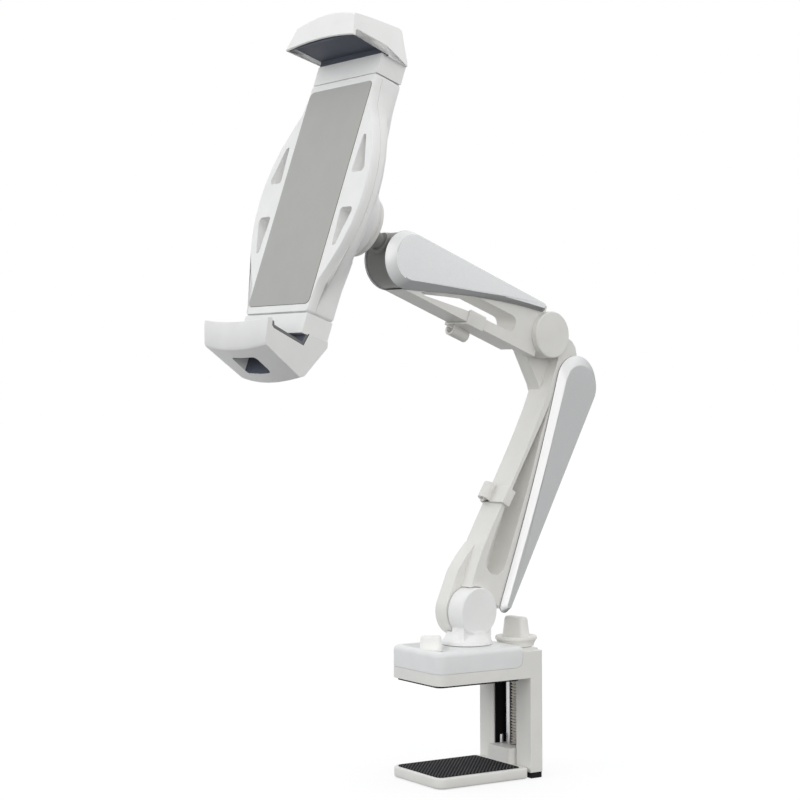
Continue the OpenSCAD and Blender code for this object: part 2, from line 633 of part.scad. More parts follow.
// Drum between the upper arm's covers, neck and ball
module head_yoke() color([0.62, 0.62, 0.62]) difference() {
    union() {
        at_head() tube(big_r - 0.8, gap - far_n, side_n - gap);
        neck_cone();
        at_ball() sphere(r = ball_r, $fn = 64);
    }
    at_head() tube(pin_r + run, -far_n - past, side_n + past);
}
module neck_cone() at_head() rotate([0, 0, 180 - neck_rise]) rotate([0, 90, 0]) {
    cylinder(r1 = side_n - 0.4, r2 = side_n - 0.6, h = big_r + 1.4, $fn = 48);
    cylinder(r = 5.4, h = neck_len - 4, $fn = 48);
}

module head_pin() color([0.6, 0.6, 0.62]) at_head() tube(pin_r, -far_n - 3, side_n + 3);

// Socket round the front half of the ball, with the spigot that turns in the hub
module ball_cup() color([0.9, 0.9, 0.89]) at_ball() difference() {
    union() {
        tube(ring_r, 0.2, hub_z - gap);
        tube(spigot_r, hub_z - past, spigot_z);
    }
    sphere(r = ball_r + run, $fn = 64);
    tube(2.6, 0, spigot_z + past);
}

// Ring that closes the socket behind the ball
module lock_ring() color([0.9, 0.9, 0.89]) at_ball() difference() {
    rotate_extrude($fn = 96) polygon(concat([[0, 0], [ring_r, 0], [ring_r, ring_z + 2.4]],
        curve_pts([ring_r, ring_z + 2.4], [ring_r - 0.1, ring_z + 1], [ring_r - 1, ring_z + 0.2],
            [ring_r - 2.8, ring_z], 5), [[ring_r - 2.8, ring_z], [0, ring_z]]));
    sphere(r = ball_r + run, $fn = 64);
}

module turn_bolt() color([0.6, 0.6, 0.62]) at_ball() {
    tube(2.55, ball_r + 1.6, spigot_z + 3);
    tube(spigot_r + 2.2, spigot_z + 0.1, spigot_z + 2);
}

// Half width of the shells at height y: straight ends, a hollow blend and a bulge across the middle
function bulge_c() = bulge_w / 2 - bulge_r;
function blend_y() = sqrt(pow(bulge_r + blend_r, 2) - pow(half_w + blend_r - bulge_c(), 2));
function half_at(y) = let (a = abs(y), t = blend_y() * bulge_r / (bulge_r + blend_r))
    a > blend_y() ? half_w : a > t ? half_w + blend_r - sqrt(pow(blend_r, 2) - pow(blend_y() - a, 2))
    : bulge_c() + sqrt(pow(bulge_r, 2) - a * a);
shell_ys = concat([for (i = [0:11]) -blend_y() + i * blend_y() / 6], [blend_y()]);
corner = 2.5;
// Right side upwards, then left side downwards. k is the share of the bulge that is kept
function shell_pts(k, d = 0) = concat(
    arc_pts([half_w - corner, corner - end_y], corner - d, 270, 360, 3),
    [for (y = shell_ys) [half_w + k * (half_at(y) - half_w) - d, y]],
    arc_pts([half_w - corner, end_y - corner], corner - d, 0, 90, 3),
    arc_pts([corner - half_w, end_y - corner], corner - d, 90, 180, 3),
    [for (i = [len(shell_ys) - 1:-1:0]) [-half_w - k * (half_at(shell_ys[i]) - half_w) + d, shell_ys[i]]],
    arc_pts([corner - half_w, corner - end_y], corner - d, 180, 270, 3));

// Rounded triangle of a grip pocket, blunt towards the middle
module pocket(z0, z1, d = 0) prism(concat(arc_pts([half_w + 6.2, 13.8], 2.2 + d, 180, 265, 4),
    arc_pts([half_w + 14, 14.5], 2.8 + d, 275, 380, 6),
    arc_pts([half_w + 7.4, 35], 2 + d, 30, 150, 6)), z0, z1);
module four_ways() for (x = [0, 1], y = [0, 1]) mirror([x, 0, 0]) mirror([0, y, 0]) children();

screw_posts = [for (x = [-1, 1]) each
    [[x * (half_w + 11), 0], [x * (half_w + 3.5), 37], [x * (half_w + 3.5), -37]]];

module front_shell() color([0.93, 0.93, 0.92]) at_holder() difference() {
    loft([lift(shell_pts(1), seam_z), lift(shell_pts(1), -3), lift(shell_pts(1, 0.2), -1.2),
        lift(shell_pts(1, 0.8), 0)]);
    prism(rect_pts([-grip_w / 2 - 0.1, -grip_len / 2 - 0.1], [grip_w / 2 + 0.1, grip_len / 2 + 0.1],
        [4, 4, 4, 4]), -0.8, past);
    four_ways() pocket(seam_z - past, past);
    for (p = screw_posts) translate(p) hole(screw_hole_r, seam_z - past, seam_z + 4);
    block([-grip_w / 2 + 3, -end_y - past, seam_z - past], [grip_w / 2 - 3, end_y + past, -2.6]);
}

module grip_pad() color([0.7, 0.7, 0.69]) at_holder() prism(rect_pts([-grip_w / 2, -grip_len / 2],
    [grip_w / 2, grip_len / 2], [4, 4, 4, 4]), -0.75, 0.3);

// Back shell, open inside for the two racks, with the pinion's axle
module back_shell() color([0.93, 0.93, 0.92]) at_holder() {
    difference() {
        loft([lift(shell_pts(1), seam_z - 0.15), lift(shell_pts(1), seam_z - 3.5),
            lift(shell_pts(0.93), seam_z - 6), lift(shell_pts(0.72, 0.1), seam_z - 8.8),
            lift(shell_pts(0.42, 0.2), seam_z - 11.8), lift(shell_pts(0.24, 0.4), back_z + 0.6),
            lift(shell_pts(0.14, 1.2), back_z)]);
        block([-cavity_x, -end_y - past, slide_z0 - gap], [cavity_x, end_y + past, seam_z + past]);
        four_ways() pocket(seam_z - 2.4, seam_z + past, 0.4);
        for (p = screw_posts) translate(p) {
            hole(screw_hole_r, back_z, seam_z + past);
            hole(screw_head_r + gap, back_z - past, seam_z - 4);
        }
        for (p = hub_screws) translate(p) {
            hole(screw_hole_r, back_z - past, seam_z);
            hole(screw_head_r + gap, back_z + 3, seam_z);
        }
    }
    tube(axle_r, slide_z0 - gap - 0.5, slide_z1 + 1);
}

// Drum between the back shell and the ball's socket
module hub_drum() color([0.93, 0.93, 0.92]) at_ball() difference() {
    rotate_extrude($fn = 96) polygon(concat([[0, hub_z], [hub_r - 3, hub_z]],
        curve_pts([hub_r - 3, hub_z], [hub_r - 1, hub_z], [hub_r - 0.4, hub_z + 1], [hub_r, hub_z + 4], 4),
        [[hub_r, hub_z + 4], [hub_r + 0.6, hub_top], [0, hub_top]]));
    tube(spigot_r + run, hub_z - past, hub_top + past);
    tube(spigot_r + 2.5, spigot_z, hub_top + past);
    for (p = hub_screws) translate([p.x, p.y + hub_drop]) tube(screw_hole_r, hub_top - 8, hub_top + past);
}

module shell_screws() color([0.55, 0.55, 0.57]) at_holder() {
    for (p = screw_posts) translate(p) {
        tube(screw_hole_r, seam_z - 5, seam_z + 3.5);
        tube(screw_head_r, seam_z - 6.4, seam_z - 4);
    }
    for (p = hub_screws) translate(p) {
        tube(screw_hole_r, back_z - 7, back_z + 4);
        tube(screw_head_r, back_z + 3, back_z + 5);
    }
}

// Side profile of each jaw as [forward, outward, lift], from the end of its block.
// The lift is how far a point rises outward in the middle of the width.
upper_profile = [[0.5 + back_z, -1, 0], [-4.2, -1, 0], [-2.4, 6, 0], [jaw_reach - 3.4, 5.8, 0],
    [jaw_reach - 1.8, 4.6, 0], [jaw_reach - 1.4, 0.9, 2.9], [jaw_reach - 0.6, 0.4, 2.9],
    [jaw_reach + 0.3, 0.9, 2.9], [jaw_reach - 0.2, 15.2, 4.7], [jaw_reach - 1.4, 16.8, 4.7],
    [9.8, 19.8, 4.7], [-12, 23.4, 4.7], [-14.6, 22.6, 4.7], [-17.2, 12, 0], [0.8 + back_z, 2.4, 0]];
lower_profile = [[back_z + 0.2, -1, 0], [-5.6, -1, 0], [-4.2, 7, 0], [jaw_reach - 5.2, 4.4, 0],
    [jaw_reach - 3.4, 3.2, 0], [jaw_reach - 2.2, -0.6, 2.2], [jaw_reach - 0.6, -1, 2.2],
    [jaw_reach + 1, -0.4, 2.2], [jaw_reach + 0.4, 3, 2.4], [jaw_reach - 2.6, 13.8, 3],
    [jaw_reach - 4, 15.4, 3], [-9.4, 25.6, 3.6], [-12.6, 23.8, 3.6], [-20.4, 5.2, 0], [back_z - 0.9, 2.6, 0]];
upper_draft = 0.4;
lower_draft = 0.12;
// Half the width of a jaw at a point of its profile: a little wider in front, narrower outward
function jaw_half(p, w, draft) = w / 2 + 0.03 * (p.x - jaw_reach) - draft * p.y;
// The section of a jaw at share t of its half width
function jaw_ring(profile, t, w, draft) = [for (p = profile)
    [t * jaw_half(p, w, draft), jaw_y + p.y + p.z * (1 - t * t), p.x]];
jaw_shares = [for (i = [5:-1:-5]) sin(18 * i)];
// Window through the wall of a jaw, behind the liner
module jaw_window() translate([0, jaw_y + 4, 0]) rotate([-90, 0, 0]) linear_extrude(32)
    polygon(rect_pts([-window_x, -window_z[1]], [window_x, -window_z[0]], [3, 3, 3, 3]));
module jaw(profile, w, draft) difference() {
    loft([for (t = jaw_shares) jaw_ring(profile, t, w, draft)]);
    jaw_window();
}

// Rubber that lines the inside of a jaw, where the device seats: the outer form less its hollow
module jaw_liner(p, w, draft) {
    end = p[5] + 0.25 * (p[4] - p[5]);
    outer = [p[1] + [0.3, 1, 0], p[2] + [0.04, -0.02, 0], p[3] - [0.02, 0.02, 0], p[4] - [0.03, 0.03, 0],
        [end.x - 0.03, end.y, 0], [end.x - 0.03, 0, 0]];
    hollow = [p[1] + [1.7, 0, 0], p[2] + [1.4, -1.9, 0], p[3] - [0.9, 1.9, 0], p[4] - [1.6, 0.9, 0],
        [end.x - 1.5, end.y, 0], [end.x - 1.5, -1, 0]];
    below = [[end.x - 2, -1, 0], [end.x - 2, end.y, 0], [end.x + 1, end.y, 0], [end.x + 1, -1, 0]];
    difference() {
        liner_block(outer, w - 0.8, draft);
        liner_block(hollow, w + 3, draft);
        liner_block(below, w + 3, draft);
    }
}
module liner_block(flat, w, draft)
    loft([for (t = [-1, 1]) jaw_ring([for (q = flat) [q.x, q.y, 0]], t, w, draft)]);

// Runner of a jaw: block, two rails, and the rack that meets the pinion on its right
module runner() {
    block([0.4 - half_w, end_y + 0.2, 0.3 + back_z], [half_w - 0.4, jaw_y, -0.5]);
    for (x = [-rail_out, rail_in])
        block([x, 10, slide_z0], [x + rail_out - rail_in, end_y + 2, slide_z1]);
    block([-rail_out, end_y - 9, slide_z0], [rail_out, end_y + 2, slide_z1]);
    prism(concat([[rack_out, end_y - 8], [rack_in, end_y - 8]],
        [for (k = [floor(rack_top / tooth_p):-1:-floor(rack_end / tooth_p)])
            each rack_tooth((k + 0.5) * tooth_p)],
        [[rack_in, -rack_end - 2], [rack_out, -rack_end - 2]]), slide_z0, slide_z1);
}
function rack_tooth(y) = [[rack_in, y + 1.09], [pitch_r - 0.8, y + 0.31], [pitch_r - 0.8, y - 0.31],
    [rack_in, y - 1.09]];

module upper_slider() color([0.93, 0.93, 0.92]) at_holder() {
    runner();
    jaw(upper_profile, jaw_w, upper_draft);
}
module lower_slider() color([0.93, 0.93, 0.92]) at_holder() {
    mirror([1, 0, 0]) mirror([0, 1, 0]) runner();
    mirror([0, 1, 0]) jaw(lower_profile, jaw_w - 2, lower_draft);
}
module upper_jaw_liner() color([0.38, 0.4, 0.45]) at_holder()
    jaw_liner(upper_profile, jaw_w, upper_draft);
module lower_jaw_liner() color([0.38, 0.4, 0.45]) at_holder() mirror([0, 1, 0])
    jaw_liner(lower_profile, jaw_w - 2, lower_draft);

module rack_pinion() color([0.85, 0.85, 0.8]) at_holder() difference() {
    prism([for (k = [0:pinion_teeth - 1]) let (a = k * 360 / pinion_teeth, s = 180 / pinion_teeth)
        each [for (q = [[pitch_r - 1.2, -0.75], [pitch_r + 0.1, -0.36], [pitch_r + 0.8, -0.2],
            [pitch_r + 0.8, 0.2], [pitch_r + 0.1, 0.36], [pitch_r - 1.2, 0.75]])
            q.x * [cos(a + q.y * s), sin(a + q.y * s)]]], slide_z0, slide_z1);
    tube(axle_r + run, slide_z0 - past, slide_z1 + past);
}

// Flat spiral spring over the pinion, which draws the jaws together
module pinion_spring() color([0.5, 0.5, 0.52]) at_holder() prism(concat(
    [for (a = [0:20:1060]) (axle_r + 0.9 + a / 360 * 1.1) * [cos(a), sin(a)]],
    [for (a = [1060:-20:0]) (axle_r + 0.5 + a / 360 * 1.1) * [cos(a), sin(a)]]), slide_z1, slide_z1 + 2.4);

clamp_frame();
upper_jaw_pad();
base_cover();
spine_end_cap();
channel_liner();
guide_rods();
screw_bush();
swivel_bush();
cover_screws();
lead_screw();
clamp_knob();
lower_jaw();
lower_jaw_pad();
screw_nut();
carriage_stop();
lock_turn();
lock_bolt();
lock_strap();
swivel_post();
swivel_spindle();
spindle_washer();
base_pin();
base_washer();
lower_frame();
lower_cover_near();
lower_cover_far();
lower_clip();
base_pin_cap();
upper_frame();
upper_cover_near();
upper_cover_far();
upper_clip();
elbow_cap();
elbow_pin();
elbow_washer();
head_yoke();
head_pin();
ball_cup();
lock_ring();
turn_bolt();
hub_drum();
back_shell();
front_shell();
grip_pad();
shell_screws();
upper_slider();
lower_slider();
upper_jaw_liner();
lower_jaw_liner();
rack_pinion();
pinion_spring();
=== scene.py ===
import json
import math

import bmesh
import bpy
from mathutils import Matrix, Vector


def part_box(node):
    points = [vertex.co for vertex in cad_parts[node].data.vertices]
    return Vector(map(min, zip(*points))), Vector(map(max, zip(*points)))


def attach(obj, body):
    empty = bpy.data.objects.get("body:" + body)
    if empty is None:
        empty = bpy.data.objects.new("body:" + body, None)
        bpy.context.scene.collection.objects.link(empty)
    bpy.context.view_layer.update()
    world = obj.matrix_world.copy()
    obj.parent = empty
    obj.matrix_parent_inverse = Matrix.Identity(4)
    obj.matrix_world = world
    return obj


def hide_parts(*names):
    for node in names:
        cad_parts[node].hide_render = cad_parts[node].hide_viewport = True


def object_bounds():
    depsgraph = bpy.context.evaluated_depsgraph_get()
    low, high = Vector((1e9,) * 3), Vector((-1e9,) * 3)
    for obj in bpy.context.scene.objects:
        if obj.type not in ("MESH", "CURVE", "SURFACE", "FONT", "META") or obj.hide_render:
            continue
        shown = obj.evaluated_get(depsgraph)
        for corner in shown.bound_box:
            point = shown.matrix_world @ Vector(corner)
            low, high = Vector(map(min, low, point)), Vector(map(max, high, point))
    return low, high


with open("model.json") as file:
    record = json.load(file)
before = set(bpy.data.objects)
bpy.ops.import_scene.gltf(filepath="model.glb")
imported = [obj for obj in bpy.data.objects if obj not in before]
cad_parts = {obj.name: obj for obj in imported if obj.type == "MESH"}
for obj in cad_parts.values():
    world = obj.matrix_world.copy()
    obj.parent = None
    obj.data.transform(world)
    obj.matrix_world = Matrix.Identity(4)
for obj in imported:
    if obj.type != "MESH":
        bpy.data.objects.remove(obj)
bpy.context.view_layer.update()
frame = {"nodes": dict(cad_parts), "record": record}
MM = 0.001
PER_M = 1000
nodes = frame["nodes"]
record = frame["record"]
body_of = {n: b for b, ns in record["behaviour"]["bodies"].items() for n in ns}
slot_of = {s["node"]: s["material_slot"] for s in record["subparts"]}
joint_of = {j["name"]: j for j in record["behaviour"]["joints"]}
scene = bpy.context.scene


# Materials

def the_node(nt, kind):
    return next(n for n in nt.nodes if n.type == kind)


def mix_colors(nt, share, low, high):
    """Mixes two colours by a linked share. Each colour is a socket, or a plain RGB."""
    mix = nt.nodes.new("ShaderNodeMix")
    mix.data_type = "RGBA"
    nt.links.new(share, mix.inputs[0])
    for socket, color in ((mix.inputs[6], low), (mix.inputs[7], high)):
        if isinstance(color, tuple):
            socket.default_value = color + (1,)
        else:
            nt.links.new(color, socket)
    return mix.outputs[2]


def color_ramp(nt, low_at, low, high_at, high):
    ramp = nt.nodes.new("ShaderNodeValToRGB")
    for element, place, color in zip(ramp.color_ramp.elements, (low_at, high_at), (low, high)):
        element.position = place
        element.color = color + (1,)
    return ramp


def material(name, color, rough, metallic=0.0, grain=0.02, grain_scale=2600.0, tone=0.03, tone_scale=60.0,
             rough_var=0.05, specular=0.5, coat=0.0):
    """Moulded, painted or metal surface. tone is the share by which its colour drifts, grain is in mm."""
    m = bpy.data.materials.new(name)
    m.use_nodes = True
    nt = m.node_tree
    nt.nodes.clear()
    out = nt.nodes.new("ShaderNodeOutputMaterial")
    p = nt.nodes.new("ShaderNodeBsdfPrincipled")
    nt.links.new(p.outputs["BSDF"], out.inputs["Surface"])
    coord = nt.nodes.new("ShaderNodeTexCoord")
    p.inputs["Metallic"].default_value = metallic
    p.inputs["Specular IOR Level"].default_value = specular
    p.inputs["Coat Weight"].default_value = coat

    # slow change of tone over the moulding
    slow = nt.nodes.new("ShaderNodeTexNoise")
    slow.inputs["Scale"].default_value = tone_scale
    slow.inputs["Detail"].default_value = 3.0
    nt.links.new(coord.outputs["Object"], slow.inputs["Vector"])
    ramp = color_ramp(nt, 0.3, tuple(c * (1 - tone) for c in color),
                      0.7, tuple(min(1, c * (1 + tone * 0.5)) for c in color))
    nt.links.new(slow.outputs["Fac"], ramp.inputs["Fac"])
    nt.links.new(ramp.outputs["Color"], p.inputs["Base Color"])

    # fine spark-eroded grain, in the height and in the gloss
    fine = nt.nodes.new("ShaderNodeTexNoise")
    fine.inputs["Scale"].default_value = grain_scale
    fine.inputs["Detail"].default_value = 2.0
    nt.links.new(coord.outputs["Object"], fine.inputs["Vector"])
    bump = nt.nodes.new("ShaderNodeBump")
    bump.inputs["Strength"].default_value = 1.0
    bump.inputs["Distance"].default_value = grain * MM
    nt.links.new(fine.outputs["Fac"], bump.inputs["Height"])
    nt.links.new(bump.outputs["Normal"], p.inputs["Normal"])
    spread = nt.nodes.new("ShaderNodeMapRange")
    spread.inputs["To Min"].default_value = rough - rough_var
    spread.inputs["To Max"].default_value = rough + rough_var
    nt.links.new(fine.outputs["Fac"], spread.inputs["Value"])
    nt.links.new(spread.outputs["Result"], p.inputs["Roughness"])
    return m


def ribbed(name, color, rough, pitch, depth, lean, turn):
    """Rubber with raised ribs, with a painted highlight that makes their crests paler. lean and turn set the
    ribs' run over the piece.
    """
    m = material(name, color, rough, grain=0.01, tone=0.15, tone_scale=300, specular=0.06)
    nt = m.node_tree
    p = the_node(nt, "BSDF_PRINCIPLED")
    grain_bump = the_node(nt, "BUMP")
    base = the_node(nt, "VALTORGB")
    spin = nt.nodes.new("ShaderNodeMapping")
    spin.vector_type = "TEXTURE"
    spin.inputs["Rotation"].default_value = (lean, 0, turn)
    nt.links.new(the_node(nt, "TEX_COORD").outputs["Object"], spin.inputs["Vector"])
    wave = nt.nodes.new("ShaderNodeTexWave")
    wave.bands_direction = "Y"
    wave.wave_profile = "SIN"
    wave.inputs["Scale"].default_value = 2 * math.pi / (20 * pitch * MM)
    wave.inputs["Distortion"].default_value = 0.0
    nt.links.new(spin.outputs["Vector"], wave.inputs["Vector"])
    crest = color_ramp(nt, 0.45, (0, 0, 0), 0.85, (1, 1, 1))
    nt.links.new(wave.outputs["Fac"], crest.inputs["Fac"])
    # Painted highlight: the crests' colour is made paler, standing in for the light they catch
    crest_highlight_color = tuple(min(1, c * 6 + 0.03) for c in color)
    nt.links.new(mix_colors(nt, crest.outputs["Color"], base.outputs["Color"], crest_highlight_color),
                 p.inputs["Base Color"])
    rib = nt.nodes.new("ShaderNodeBump")
    rib.inputs["Strength"].default_value = 1.0
    rib.inputs["Distance"].default_value = depth * MM
    nt.links.new(crest.outputs["Color"], rib.inputs["Height"])
    nt.links.new(grain_bump.outputs["Normal"], rib.inputs["Normal"])
    nt.links.new(rib.outputs["Normal"], p.inputs["Normal"])
    return m


def shaded_by_side(m, lit_side, dark, low, high):
    """Darkens a material on the sides of its piece that look away from lit_side, in the piece's own space."""
    nt = m.node_tree
    dot = nt.nodes.new("ShaderNodeVectorMath")
    dot.operation = "DOT_PRODUCT"
    dot.inputs[1].default_value = lit_side
    nt.links.new(the_node(nt, "TEX_COORD").outputs["Normal"], dot.inputs[0])
    span = nt.nodes.new("ShaderNodeMapRange")
    span.inputs["From Min"].default_value = low
    span.inputs["From Max"].default_value = high
    nt.links.new(dot.outputs["Value"], span.inputs["Value"])
    lit = the_node(nt, "VALTORGB").outputs["Color"]
    nt.links.new(mix_colors(nt, span.outputs["Result"], dark, lit),
                 the_node(nt, "BSDF_PRINCIPLED").inputs["Base Color"])


# Keyed by the record's material slots and, beside them, by the finishes of single pieces and faces; some
# silvers for the covers among them carry painted shade
mats = {
    "frame_plastic": material("warm_white_plastic", (0.81, 0.80, 0.77), 0.46, grain=0.012),
    "white_plastic": material("white_plastic", (0.88, 0.88, 0.87), 0.40, grain=0.008),
    "cover_plastic": material("cool_white_plastic", (0.80, 0.805, 0.81), 0.36, grain=0.006),
    "lock_plastic": material("milky_plastic", (0.90, 0.895, 0.87), 0.3, grain=0.006, coat=0.3),
    "black_rubber": ribbed("ribbed_black_rubber", (0.008, 0.008, 0.009), 0.75, pitch=1.5, depth=0.35,
                           lean=math.radians(45), turn=math.radians(-40)),
    "black_plastic": material("black_plastic", (0.005, 0.005, 0.006), 0.5, grain=0.02, tone=0.2,
                              specular=0.15),
    "steel": material("steel", (0.60, 0.60, 0.61), 0.26, metallic=1.0, grain=0.004, tone=0.08,
                      tone_scale=400),
    "screw_steel": material("screw_steel", (0.55, 0.53, 0.49), 0.3, metallic=1.0, grain=0.01, tone=0.15,
                            tone_scale=600),
    "brass": material("brass", (0.72, 0.55, 0.26), 0.3, metallic=1.0, grain=0.004, tone=0.1, tone_scale=400),
    "dark_plastic": material("dark_plastic", (0.07, 0.07, 0.075), 0.45, grain=0.015, tone=0.1),
    "silver": material("satin_silver", (0.88, 0.89, 0.90), 0.36, metallic=0.22, grain=0.014, grain_scale=5200,
                       tone=0.03, tone_scale=900, rough_var=0.04),
    # Chamfer silver with painted shade: its colour is darkened on the sides of each cover that look away from
    # the front and top
    "chamfer_silver_painted_shade": material("polished_silver_painted_shade", (0.90, 0.905, 0.91), 0.25, metallic=0.3, grain=0.006,
                              grain_scale=5200, tone=0.02, tone_scale=900, rough_var=0.03),
    # Painted shade: a dark copy of the silver for the covers' rims, standing in for the dark they reflect
    "rim_silver_painted_shade": material("rim_silver_painted_shade", (0.24, 0.24, 0.245), 0.35, metallic=0.3, grain=0.008, tone=0.05),
    # Painted shade: a darker copy of the satin silver, for the lower covers
    "lower_cover_painted_shade": material("satin_silver_painted_shade", (0.55, 0.555, 0.56), 0.34, metallic=0.3, grain=0.014,
                            grain_scale=5200, tone=0.03, tone_scale=900, rough_var=0.04),
    "grey_plastic": material("grey_plastic", (0.20, 0.20, 0.19), 0.42, grain=0.015),
    "grip_rubber": material("grey_grip_rubber", (0.455, 0.455, 0.435), 0.7, grain=0.02, grain_scale=3400,
                            tone=0.02, specular=0.3),
    "liner_rubber": material("blue_grey_rubber", (0.085, 0.095, 0.125), 0.6, grain=0.02, specular=0.3),
    "liner_edge": material("cut_rubber_edge", (0.20, 0.20, 0.195), 0.75, grain=0.03, tone=0.08,
                           specular=0.25),
    "pad_edge": material("brown_rubber_edge", (0.19, 0.165, 0.14), 0.7, grain=0.02, specular=0.25),
}
# Painted shade: the chamfer colour runs from light to dark over the sides that look away from the front and
# top, fixed in the piece's own space
shaded_by_side(mats["chamfer_silver_painted_shade"], (0, -0.75, 0.65), (0.31, 0.315, 0.32), -0.3, 0.25)


def pick(node):
    if node == "base_cover":
        return mats["cover_plastic"]
    # The lower covers get the darker silver copy: painted shade
    if node in ("lower_cover_near", "lower_cover_far"):
        return mats["lower_cover_painted_shade"]
    return mats[slot_of[node]]


def paint(obj, mat):
    obj.data.materials.clear()
    obj.data.materials.append(mat)


def smooth(obj, angle=32):
    me = obj.data
    me.polygons.foreach_set("use_smooth", [True] * len(me.polygons))
    me.set_sharp_from_angle(angle=math.radians(angle))


for n, o in nodes.items():
    paint(o, pick(n))
    smooth(o)


# Moulded pieces: copies of the CAD nodes with rounded edges

WELD = 0.004 * MM
FLAT_WITHIN = math.radians(0.6)
ROUND_OVER = math.radians(28)


def dressed(node, width):
    """A copy of a CAD node with its flat faces joined and its edges rounded, width in mm."""
    me = nodes[node].data.copy()
    bm = bmesh.new()
    bm.from_mesh(me)
    bmesh.ops.remove_doubles(bm, verts=bm.verts, dist=WELD)
    bmesh.ops.dissolve_limit(bm, angle_limit=FLAT_WITHIN, verts=bm.verts, edges=bm.edges)
    bm.normal_update()
    bm.to_mesh(me)
    bm.free()
    o = bpy.data.objects.new(node + "_moulded", me)
    scene.collection.objects.link(o)
    mod = o.modifiers.new("edges", "BEVEL")
    mod.width = width * MM
    mod.segments = 3
    mod.limit_method = "ANGLE"
    mod.angle_limit = ROUND_OVER
    mod.use_clamp_overlap = True
    mod.harden_normals = True
    paint(o, pick(node))
    smooth(o, 40)
    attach(o, body_of[node])
    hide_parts(node)
    return o


edge_width = {
    "clamp_frame": 0.8, "lower_jaw": 0.4, "base_cover": 0.25, "lower_frame": 0.5, "upper_frame": 0.6,
    "lower_clip": 0.35, "upper_clip": 0.35, "front_shell": 0.35, "back_shell": 0.3, "upper_slider": 0.5,
    "lower_slider": 0.5, "swivel_post": 0.3, "grip_pad": 0.25, "spine_end_cap": 0.4, "clamp_knob": 0.3,
    "lock_turn": 0.3, "upper_cover_near": 0.45, "upper_cover_far": 0.45, "lower_cover_near": 0.45,
    "lower_cover_far": 0.45, "elbow_cap": 0.4, "upper_jaw_liner": 0.15, "lower_jaw_liner": 0.15}
moulded = {n: dressed(n, w) for n, w in edge_width.items()}


def refinish(node, mat, chosen):
    """Gives the faces of a moulded piece that chosen(face) picks one more material."""
    me = moulded[node].data
    me.materials.append(mat)
    index = len(me.materials) - 1
    for f in me.polygons:
        if chosen(f):
            f.material_index = index


# Covers: satin face, chamfer with painted shade that runs from light to dark, rim darkened by painted shade

# Faces nearly edge-on to a cover's face take the rim's painted shade, the others up to the face take the
# chamfer's
RIM_BELOW = 0.2
CHAMFER_BELOW = 0.975

for n in ("upper_cover_near", "upper_cover_far", "lower_cover_near", "lower_cover_far"):
    face = max(moulded[n].data.polygons, key=lambda f: f.area).normal.copy()
    refinish(n, mats["chamfer_silver_painted_shade"],
             lambda f: RIM_BELOW <= abs(f.normal.dot(face)) < CHAMFER_BELOW)
    refinish(n, mats["rim_silver_painted_shade"], lambda f: abs(f.normal.dot(face)) < RIM_BELOW)

# The holder's own axes: from the pinion on the pad's middle, up its length and out of its face
holder_mid = Vector(joint_of["pinion_turn"]["pos_m"])
holder_out = Vector(joint_of["pinion_turn"]["axis"])
holder_up = Vector(joint_of["upper_jaw_slide"]["axis"])
holder_across = holder_up.cross(holder_out)

# Thumb window of a jaw, in mm from there: half its width, its depth, and where the jaw's back wall begins
WINDOW_HALF = 15.0
WINDOW_LOW = -14.0
WINDOW_HIGH = 1.5
WINDOW_FROM = 92.0


def in_window(f, way):
    q = (f.center - holder_mid) / MM
    return (abs(q.dot(holder_across)) < WINDOW_HALF and WINDOW_LOW < q.dot(holder_out) < WINDOW_HIGH
            and q.dot(holder_up) * way > WINDOW_FROM and abs(f.normal.dot(holder_up)) < 0.6)


refinish("upper_slider", mats["liner_rubber"], lambda f: in_window(f, 1))
refinish("lower_slider", mats["liner_rubber"], lambda f: in_window(f, -1))

# A thin brown edge shows round the grip pad, and the cut ends of the jaw liners are pale
refinish("grip_pad", mats["pad_edge"], lambda f: abs(f.normal.dot(holder_out)) < 0.5)
for n in ("upper_jaw_liner", "lower_jaw_liner"):
    refinish(n, mats["liner_edge"], lambda f: abs(f.normal.dot(holder_across)) > 0.9)


def new_mesh_object(name, bm):
    me = bpy.data.meshes.new(name)
    bm.to_mesh(me)
    bm.free()
    o = bpy.data.objects.new(name, me)
    scene.collection.objects.link(o)
    return o


def lathe(bm, rows, steps, place, wave):
    """Skins rows of (radius, height) in mm round +Z. wave(row, turn) adds to the radius."""
    rings = []
    for k, (r, z) in enumerate(rows):
        ring = []
        for i in range(steps):
            t = i / steps
            rr = r + wave(k, t)
            a = 2 * math.pi * t
            ring.append(bm.verts.new(place @ Vector((rr * math.cos(a) * MM, rr * math.sin(a) * MM, z * MM))))
        rings.append(ring)
    for a, b in zip(rings, rings[1:]):
        for i in range(steps):
            j = (i + 1) % steps
            bm.faces.new((a[i], a[j], b[j], b[i]))
    bm.faces.new(list(reversed(rings[0])))
    bm.faces.new(rings[-1])


# Lead screw with a real thread, 2 mm a turn, between a turned foot and a plain neck

lo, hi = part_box("lead_screw")
screw_y = (lo.y + hi.y) / 2 * PER_M
screw_r = (hi.x - lo.x) / 2 * PER_M
z0, z1 = lo.z * PER_M, hi.z * PER_M
pitch = 2.0
thread_end = 8.0
foot_h = 3.0
rows = [(screw_r - 1.0, z0), (screw_r - 1.0, z0 + foot_h)]
z = z0 + 3.2
while z < thread_end:
    rows.append((screw_r, z))
    z += pitch / 10
rows += [(screw_r, thread_end + 0.2), (screw_r, z1)]


def thread(k, t):
    """Depth of a rounded thread: 0 on the crest, which is 0.24 of the pitch wide."""
    if k < 2 or k > len(rows) - 3:
        return 0.0
    f = (rows[k][1] / pitch - t) % 1.0
    return -0.62 * pitch * max(0.0, min(1.0, (abs(f - 0.5) - 0.12) / 0.3))


